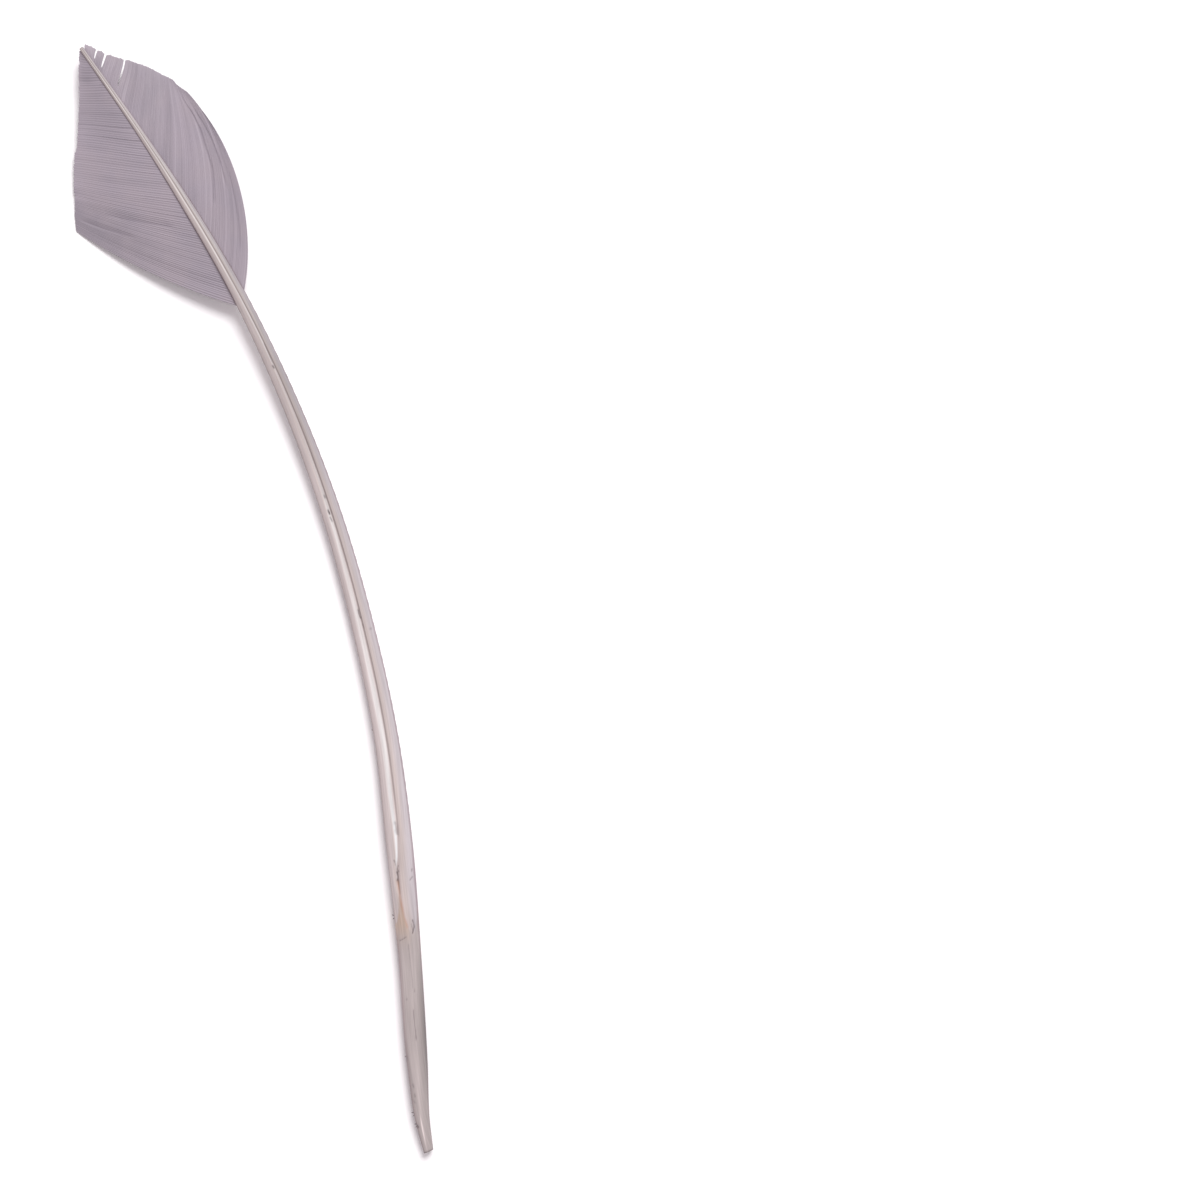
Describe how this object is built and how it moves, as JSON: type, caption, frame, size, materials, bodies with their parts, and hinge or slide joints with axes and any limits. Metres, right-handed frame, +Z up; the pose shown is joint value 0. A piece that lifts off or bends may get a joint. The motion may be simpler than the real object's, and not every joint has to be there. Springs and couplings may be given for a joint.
{
  "type": "trimmed turkey feather",
  "caption": "Dyed turkey wing quill stripped down its shaft, with its vane scissor-trimmed to a leaf-shaped tip, lying ventral side up.",
  "frame": {"origin": "on the table, under the middle of the feather's box", "axes": "+Z up from the table, +Y along the straight line from the cut end of the quill to the tip, +X to the right when seen from above with the tip away from you"},
  "size_m": [0.0452, 0.3057, 0.0075],
  "materials": {
    "quill": "dyed quill keratin, satin, pinkish cream with a pale channel and mauve edges",
    "vane": "interlocked barbs dyed mauve grey, fine-ribbed, with a soft sheen"
  },
  "bodies": {
    "root": {"feather": "quill"}
  },
  "joints": []
}
